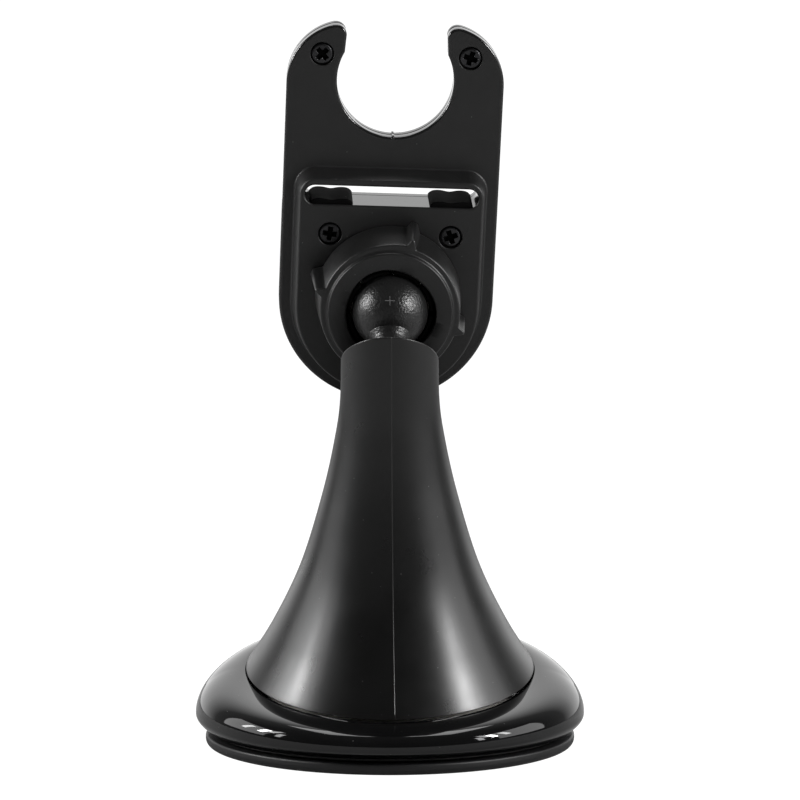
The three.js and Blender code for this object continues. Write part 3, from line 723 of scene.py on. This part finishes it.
def locking_nut():
    """The nut: raised face, lower rim with four wings that run back along the side, stepped bore."""
    angles = nut_angles()

    def level(depth, radius, height=0.0, far=0.0, wave=0.0):
        loop = []
        for a in angles:
            r = radius + height * WING_HEIGHT * wing(a, far) + wave * hole_wave(a)
            loop.append((r * math.sin(a), depth, r * math.cos(a)))
        return loop

    loops = [
        level(-1.3, NUT_HOLE_R + 0.02, wave=1), level(-1.95, NUT_HOLE_R, wave=1),
        level(-2.12, NUT_HOLE_R + 0.1, wave=1), level(NUT_FACE, NUT_HOLE_R + 0.35, wave=0.6),
        level(NUT_FACE, 13.5), level(-2.17, 13.68), level(-2.08, 13.8), level(-1.95, 13.88),
        level(-1.3, 13.95), level(-1.05, 14.05), level(-0.92, 14.3), level(-0.9, 14.6),
        level(-0.9, 15.05, 0.8), level(-0.87, 15.15, 0.9), level(-0.75, 15.28, 0.97),
        level(-0.55, 15.36, 1.0), level(-0.2, 15.4, 1.0),
    ]
    for i in range(1, 15):
        far = i / 14
        loops.append(level(-0.2 + 11.1 * far, 15.4 + 0.8 * far, 1.0, far))
    loops += [
        level(11.25, 16.15, 0.98, 1), level(11.5, 16.0, 0.9, 1), level(NUT_END, 15.75, 0.8, 1),
        level(NUT_END, NUT_BORE_R + 0.4), level(NUT_END - 0.3, NUT_BORE_R),
        level(2.2, NUT_BORE_R), level(-0.8, 10.3),
    ]
    skin = Skin()
    first, last = skin.stack(loops)
    skin.bridge(last, first)
    piece = make_piece(skin, "locking_nut_fine", [FINISHES["nut_black"]], HEAD, crease=50)
    stand_for(piece, "locking_nut", "nut")


def ball_socket():
    """The collet: a tube with a flange, its mouth split into eight fingers around the ball."""
    skin = Skin()
    closed_lathe(
        skin,
        [(12.2, 5.0), (12.2, 15.0), (15.2, 15.0), (15.2, 17.6), (9.1, 17.6), (9.1, 5.0)],
        circle_deep, 96,
    )
    section = [
        (9.1, 5.05), (12.2, 5.05), (12.2, 2.7), (9.6, -0.6), (9.6, -1.0), (9.4, -1.2), (8.9, -1.2),
        (8.72, -1.0), (8.8, 0.0), (9.1, 2.0),
    ]
    for i in range(8):
        finger(skin, section, i * TAU / 8)
    # The collet is black plastic, made darker and duller than the other black parts as painted shade for
    # the deep gap around the ball.
    piece = make_piece(skin, "ball_socket_fine", [FINISHES["painted_shade_black"]], HEAD)
    stand_for(piece, "ball_socket", "head")


def finger(skin, section, start):
    """One eighth of the collet's mouth, between two slots that are 1.2 mm wide."""
    steps = 10
    half_slot = 0.6
    rings = []
    for i in range(steps + 1):
        ring = []
        for radius, depth in section:
            gap = math.asin(half_slot / radius)
            a = start + gap + (TAU / 8 - 2 * gap) * i / steps
            ring.append((radius * math.sin(a), depth, radius * math.cos(a)))
        rings.append(skin.loop(ring))
    for one, other in zip(rings, rings[1:]):
        skin.bridge(one, other)
    skin.flat(rings[0])
    skin.flat(rings[-1])


# ---------------------------------------------------------------- outlines of the head's covers


def arc(centre, radius, start, end, steps):
    x, z = centre
    turns = [start + (end - start) * i / steps for i in range(steps + 1)]
    return [(x + radius * math.cos(a), z + radius * math.sin(a)) for a in turns]


def fork_arc(grow):
    """The fork's opening from right to left, with the small gate nub left at its lowest point."""
    start, end = FORK_ARC_START, math.pi - FORK_ARC_START - TAU
    turns = [start + (end - start) * i / 96 for i in range(97)]
    turns += [math.radians(-90 + d) for d in (-1.6, -1.1, -0.6, 0.6, 1.1, 1.6)]
    points = []
    for a in sorted(turns, reverse=True):
        nub = 0.3 if abs(math.degrees(a) + 90) < 1.2 else 0.0
        r = FORK_R - grow - nub
        points.append((r * math.cos(a), FORK_Z + r * math.sin(a)))
    return points


def mirrored(points):
    return [(-x, z) for x, z in reversed(points)]


def plate_outline(grow):
    """The fork plate's outline, moved outwards by grow."""
    horn_x = HALF_WIDTH - HORN_R
    tip_turn = math.atan2(TIP_Z - HORN_Z, TIP_X - horn_x)
    horn = arc((horn_x, HORN_Z), HORN_R + grow, 0, tip_turn, 24)
    tip = arc((TIP_X, TIP_Z), TIP_R + grow, tip_turn, math.pi, 14)[1:]
    end = arc((0, ROUND_END_Z), HALF_WIDTH + grow, math.pi, TAU, 72)
    return horn + tip + fork_arc(grow) + mirrored(tip) + mirrored(horn) + end


def platform_outline(grow, half=PLATFORM_HALF_WIDTH, top=PLATFORM_TOP_Z, corner=PLATFORM_CORNER_R):
    half, top, corner = half + grow, top + grow, corner + grow
    right = arc((half - corner, top - corner), corner, 0, math.pi / 2, 12)
    end = arc((0, ROUND_END_Z), half, math.pi, TAU, 64)
    return right + mirrored(right) + end


def slot_outline(grow):
    radius = SLOT_HALF_HEIGHT + grow
    middle = SLOT_HALF_LENGTH - SLOT_HALF_HEIGHT
    right = arc((middle, SLOT_Z), radius, -math.pi / 2, math.pi / 2, 16)
    return right + mirrored(right)


# ---------------------------------------------------------------- covers


def screw_well(skin, face, floor, place):
    """A round recess for a screw head with a hole through its floor; returns its two end rings."""
    edge = [(SCREW_RECESS_R + inset, face + drop) for inset, drop in rounding(0.15, 3)]
    loops = [circle_deep(r, depth, 40, place) for r, depth in edge]
    loops.append(circle_deep(SCREW_RECESS_R, floor, 40, place))
    loops.append(circle_deep(SCREW_HOLE_R, floor, 40, place))
    return skin.stack(loops)


def hole_through(skin, ring_end, depth, place):
    """Carries a screw hole on from the well's floor to a depth."""
    ring = skin.loop(circle_deep(SCREW_HOLE_R, depth, 40, place))
    skin.bridge(ring_end, ring)
    return ring


def platform_levels():
    """(grow, depth) pairs from the platform's foot on the plate up to the edge of its flat face."""
    levels = []
    for inset, drop in rounding(PLATFORM_FOOT_ROUND):
        levels.append((PLATFORM_DRAFT + inset, PLATE_REAR - drop))
    near = 0.15
    for inset, drop in reversed(rounding(PLATFORM_EDGE_ROUND)):
        levels.append((near - inset, PLATFORM_FACE + drop))
    return levels


def back_cover():
    """The rear shell: rounded plate, raised platform, slot, screw wells and the hollow inside."""
    skin = Skin()
    edge = [(-inset, PLATE_REAR + drop) for inset, drop in rounding(PLATE_EDGE_ROUND)]
    edge += [(0, COVER_SPLIT - 0.2), (-0.06, COVER_SPLIT - 0.06), (-0.2, COVER_SPLIT)]
    skin.paint = 1
    plate_face, split_edge = skin.stack([at_depth(plate_outline(g), d) for g, d in edge])
    skin.paint = 0
    rise = [at_depth(platform_outline(g), d) for g, d in platform_levels()]
    platform_foot, platform_face = skin.stack(rise)
    wells = {}
    for side in (-1, 1):
        for name, (x, z), face, floor in (
            ("horn", HORN_SCREW, PLATE_REAR, PLATE_REAR + HORN_WELL),
            ("platform", PLATFORM_SCREW, PLATFORM_FACE, PLATFORM_FACE + PLATFORM_WELL),
        ):
            wells[name, side] = screw_well(skin, face, floor, (side * x, z))
    skin.flat(plate_face, platform_foot, wells["horn", -1][0], wells["horn", 1][0])

    ceiling = PLATFORM_FACE + COVER_WALL
    opening = skin.stack(
        [circle_deep(PLATFORM_OPENING_R, d, 96) for d in (PLATFORM_FACE, ceiling)]
    )
    slot_edge = [(inset, PLATFORM_FACE + drop) for inset, drop in rounding(0.45, 4)]
    slot_mouth, slot_neck = skin.stack([at_depth(slot_outline(g), d) for g, d in slot_edge])
    skin.paint = 1
    slot_end = skin.loop(at_depth(slot_outline(0), COVER_SPLIT))
    skin.bridge(slot_neck, slot_end)
    skin.paint = 0
    skin.flat(
        platform_face, opening[0], slot_mouth, wells["platform", -1][0], wells["platform", 1][0]
    )

    hollow = platform_outline(0, PLATFORM_HALF_WIDTH - COVER_WALL + 0.6, CAVITY_TOP_Z, 2)
    hollow_top, hollow_mouth = skin.stack([at_depth(hollow, d) for d in (ceiling, COVER_SPLIT)])
    through = {}
    for side in (-1, 1):
        for name, (x, z), depth in (
            ("horn", HORN_SCREW, COVER_SPLIT), ("platform", PLATFORM_SCREW, ceiling),
        ):
            through[name, side] = hole_through(skin, wells[name, side][1], depth, (side * x, z))
    skin.flat(hollow_top, opening[1], through["platform", -1], through["platform", 1])
    skin.flat(split_edge, hollow_mouth, slot_end, through["horn", -1], through["horn", 1])
    finishes = [FINISHES["matte_black"], FINISHES["slot_gloss"]]
    piece = make_piece(skin, "back_cover_fine", finishes, HEAD, crease=50)
    stand_for(piece, "back_cover", "head")


def front_cover():
    """The phone-side shell: a flat plate with rounded rims and the slot."""
    near = COVER_SPLIT + COVER_GAP
    skin = Skin()
    edge = [(-0.2, near), (-0.06, near + 0.06), (0, near + 0.2)]
    edge += [(-inset, FRONT_FACE - drop) for inset, drop in reversed(rounding(0.7, 6))]
    skin.paint = 1
    near_edge, far_edge = skin.stack([at_depth(plate_outline(g), d) for g, d in edge])
    slot_near, slot_neck = skin.stack(
        [at_depth(slot_outline(0), d) for d in (near, FRONT_FACE - 0.4)]
    )
    skin.paint = 0
    rim = [(inset, FRONT_FACE - drop) for inset, drop in reversed(rounding(0.4, 4))]
    slot_rim, slot_far = skin.stack([at_depth(slot_outline(g), d) for g, d in rim])
    skin.bridge(slot_neck, slot_rim)
    skin.flat(near_edge, slot_near)
    skin.flat(far_edge, slot_far)
    finishes = [FINISHES["matte_black"], FINISHES["slot_gloss"]]
    piece = make_piece(skin, "front_cover_fine", finishes, HEAD, crease=50)
    stand_for(piece, "front_cover", "head")


# ---------------------------------------------------------------- saddles and screws


def saddle_outline(side, inset):
    """Two soft humps with a dip between them."""
    floor = SLOT_Z - SLOT_HALF_HEIGHT + 0.05
    half = SADDLE_LENGTH / 2 - inset
    points = [(-half, floor), (half, floor)]
    steps = 36
    for i in range(steps + 1):
        u = 1 - 2 * i / steps
        dip = SADDLE_DIP * math.exp(-((u / 0.3) ** 2))
        round_off = SADDLE_ROUND_OFF * abs(u) ** 7
        points.append((u * half, floor + SADDLE_HEIGHT - dip - round_off - inset))
    outline = [(side * (SADDLE_X + x), z) for x, z in points]
    return outline if side > 0 else outline[::-1]


def slot_saddle(name, side):
    skin = Skin()
    near, far = PLATFORM_FACE + 0.8, FRONT_FACE - 0.4
    levels = [(inset, near + drop) for inset, drop in rounding(0.35, 4)]
    levels += [(inset, far - drop) for inset, drop in reversed(rounding(0.35, 4))]
    first, last = skin.stack([at_depth(saddle_outline(side, i), d) for i, d in levels])
    skin.flat(first)
    skin.flat(last)
    piece = make_piece(skin, f"{name}_fine", [FINISHES["rubber"]], HEAD, crease=60)
    stand_for(piece, name, "head")


def cross_recess(x, z):
    """Depth of the driver's cross at a point of a screw head, with sloping walls."""

    def bar(along, across):
        side = (CROSS_HALF_WIDTH - abs(across)) / CROSS_WALL
        end = (CROSS_HALF_LENGTH - abs(along)) / (3 * CROSS_WALL)
        return min(1, side, end)

    return max(0, bar(x, z), bar(z, x))


def head_screw(name, place, side, face, length):
    """A pan-head screw in black steel with a cross recess 1 mm deep, painted near-black as shade, turned
    its own way.
    """
    steps = 96
    rings = 22
    flat_r = SCREW_R - 0.45
    loops = []
    for k in range(1, rings + 1):
        loop = []
        for x, _, z in circle_deep(flat_r * k / rings, 0, steps):
            dome = 0.12 * ((x * x + z * z) / SCREW_R ** 2)
            loop.append((x, face + dome + cross_recess(x, z), z))
        loops.append(loop)
    rim = [(flat_r + 0.25, 0.2), (flat_r + 0.4, 0.36), (SCREW_R, 0.6), (SCREW_R, SCREW_HEAD_H)]
    rim += [(SHANK_R, SCREW_HEAD_H), (SHANK_R, SCREW_HEAD_H + length)]
    loops += [circle_deep(r, face + drop, steps) for r, drop in rim]
    skin = Skin()
    first, last = skin.stack(loops)
    skin.cap(first)
    skin.cap(last)
    deepest = face + 1.2
    # Faces sunk in the cross recess get the near-black finish: painted shade in the recess.
    for k, corners in enumerate(skin.faces):
        middle = sum((Vector(skin.points[c]) for c in corners), Vector()) / len(corners)
        sunk = cross_recess(middle.x, middle.z) > 0.3
        skin.paints[k] = 1 if sunk and middle.y < deepest else 0
    spot = HEAD @ Matrix.Translation(Vector((side * place[0], 0, place[1])) * MM)
    turn = Matrix.Rotation(math.radians(24 + 31 * side + place[1]), 4, "Y")
    finishes = [FINISHES["black_steel"], FINISHES["painted_shade_black"]]
    piece = make_piece(skin, f"{name}_fine", finishes, spot @ turn, crease=30)
    stand_for(piece, name, "head")


# ---------------------------------------------------------------- pieces kept from the frame


def paint_inner_pieces():
    """The parts that only show when the mount is taken apart keep their shape and get a finish."""
    finishes = {
        "base_plate": "inner_plastic", "plunger": "acetal", "plunger_pin": "zinc_steel",
        "lock_cam": "acetal", "base_screw_1": "zinc_steel", "base_screw_2": "zinc_steel",
        "base_screw_3": "zinc_steel", "stud_washer": "zinc_steel", "stud_screw": "zinc_steel",
        "ball_seat": "acetal", "seat_cushion": "rubber",
    }
    for node, finish in finishes.items():
        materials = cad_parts[node].data.materials
        materials.clear()
        materials.append(FINISHES[finish])


# ---------------------------------------------------------------- studio


FLOOR_R = 3000
FLOOR_Z = -0.02
UNSEEN_GREYS = ((0.6, 0.05), (0.78, 0.14), (0.9, 0.85))  # place from 0 at -Y to 1 at +Y, grey
UNSEEN_STRENGTH = 1.5
SEEN_STRENGTH = 1.1

UMBRELLA_SIZE = (0.56, 0.56)  # the lights' sizes and places are in metres
UMBRELLA_POWER = 2.4
LAMP_SIZE = (0.05, 0.24)


def studio_floor():
    """A flat floor that glows near-white to the camera and is dim to every other ray."""
    skin = Skin()
    ring = skin.loop(circle_up(FLOOR_R, FLOOR_Z, 64))
    skin.cap(ring)
    material = bpy.data.materials.new("pale_floor")
    material.use_nodes = True
    tree = material.node_tree
    tree.nodes.remove(tree.nodes["Principled BSDF"])
    out = tree.nodes["Material Output"]
    rays = tree.nodes.new("ShaderNodeLightPath").outputs["Is Camera Ray"]
    pale, dim = (tree.nodes.new("ShaderNodeBsdfDiffuse") for _ in range(2))
    glow, bounce = (tree.nodes.new("ShaderNodeEmission") for _ in range(2))
    seen, mixed = (tree.nodes.new("ShaderNodeMixShader") for _ in range(2))
    unseen = tree.nodes.new("ShaderNodeAddShader")
    pale.inputs["Color"].default_value = (0.8, 0.8, 0.8, 1)
    dim.inputs["Color"].default_value = (0.35, 0.35, 0.35, 1)
    glow.inputs["Strength"].default_value = 1.2
    bounce.inputs["Strength"].default_value = 0.08
    seen.inputs["Fac"].default_value = 0.86
    link(tree, dim.outputs["BSDF"], unseen.inputs[0])
    link(tree, bounce.outputs["Emission"], unseen.inputs[1])
    link(tree, pale.outputs["BSDF"], seen.inputs[1])
    link(tree, glow.outputs["Emission"], seen.inputs[2])
    link(tree, rays, mixed.inputs["Fac"])
    link(tree, unseen.outputs["Shader"], mixed.inputs[1])
    link(tree, seen.outputs["Shader"], mixed.inputs[2])
    link(tree, mixed.outputs["Shader"], out.inputs["Surface"])
    floor = make_piece(skin, "studio_floor", [material], UPRIGHT)


def studio_surroundings():
    """White to the camera; to every other ray, dark in front of the mount and bright behind it."""
    world = bpy.data.worlds.new("studio")
    bpy.context.scene.world = world
    world.use_nodes = True
    tree = world.node_tree
    background = tree.nodes["Background"]
    direction = tree.nodes.new("ShaderNodeTexCoord").outputs["Generated"]
    parts = tree.nodes.new("ShaderNodeSeparateXYZ")
    link(tree, direction, parts.inputs["Vector"])
    ramp = tree.nodes.new("ShaderNodeValToRGB")
    stops = ramp.color_ramp.elements
    stops[0].color = (0.03, 0.03, 0.03, 1)
    stops[1].color = (1, 1, 1, 1)
    for position, grey in UNSEEN_GREYS:
        stops.new(position).color = (grey, grey, grey, 1)
    link(tree, spread(tree, parts.outputs["Y"], 0, 1, -1, 1), ramp.inputs["Fac"])
    rays = tree.nodes.new("ShaderNodeLightPath").outputs["Is Camera Ray"]
    shown = blend_colours(tree, rays, ramp.outputs["Color"], (1, 1, 1))
    link(tree, shown, background.inputs["Color"])
    strength = spread(tree, rays, UNSEEN_STRENGTH, SEEN_STRENGTH, 0, 1)
    link(tree, strength, background.inputs["Strength"])


def softbox(name, place, target, size, power):
    lamp = bpy.data.lights.new(name, "AREA")
    lamp.shape = "RECTANGLE"
    lamp.size, lamp.size_y = size
    lamp.energy = power
    box = bpy.data.objects.new(name, lamp)
    bpy.context.scene.collection.objects.link(box)
    box.location = place
    box.rotation_euler = (Vector(target) - Vector(place)).to_track_quat("-Z", "Y").to_euler()


def studio_lights():
    """An umbrella and four lamps on each side, which the gloss ring mirrors, and a light above.

    Each lamp is (x, y, z, power), its place in metres.
    """
    target = (0, 0, 0.08)
    umbrellas = (
        (-1, (-0.80, 0.06, 0.36), ((-0.68, -0.10, 0.38, 2.6), (-0.69, 0.06, 0.36, 0.5),
                                   (-0.66, -0.17, 0.48, 0.3), (-0.64, -0.27, 0.27, 0.3))),
        (1, (0.80, -0.10, 0.36), ((0.62, -0.31, 0.36, 2.8), (0.66, -0.20, 0.38, 0.5),
                                  (0.60, -0.36, 0.46, 0.3), (0.57, -0.42, 0.26, 0.3))),
    )
    for side, place, lamps in umbrellas:
        softbox(f"umbrella_{side}", place, target, UMBRELLA_SIZE, UMBRELLA_POWER)
        for k, (x, y, z, power) in enumerate(lamps):
            softbox(f"lamp_{side}_{k}", (x, y, z), target, LAMP_SIZE, power)
    softbox("top_fill", (0, 0.35, 0.9), (0, 0, 0.1), (0.5, 0.4), 2.0)


def studio_camera():
    camera = bpy.data.cameras.new("camera")
    camera.lens = 180
    camera.sensor_width = 36
    camera.clip_start = 0.05
    camera.clip_end = 20
    eye = bpy.data.objects.new("camera", camera)
    bpy.context.scene.collection.objects.link(eye)
    eye.location = (0.00225, -0.88914, 0.15982)
    eye.rotation_euler = (math.radians(84.7), 0, 0)
    bpy.context.scene.camera = eye
    bpy.context.scene.view_settings.view_transform = "Standard"


# ---------------------------------------------------------------- assembly

suction_pad()
base_ring()
pedestal()
ball_stud()
ball_marks()
ball_socket()
locking_nut()
back_cover()
front_cover()
for label, side in (("left", -1), ("right", 1)):
    slot_saddle(f"slot_pad_{label}", side)
    head_screw(f"horn_screw_{label}", HORN_SCREW, side, PLATE_REAR + 0.05, 2)
    head_screw(f"platform_screw_{label}", PLATFORM_SCREW, side, PLATFORM_FACE + 0.2, 8)
paint_inner_pieces()
studio_floor()
studio_surroundings()
studio_lights()
studio_camera()
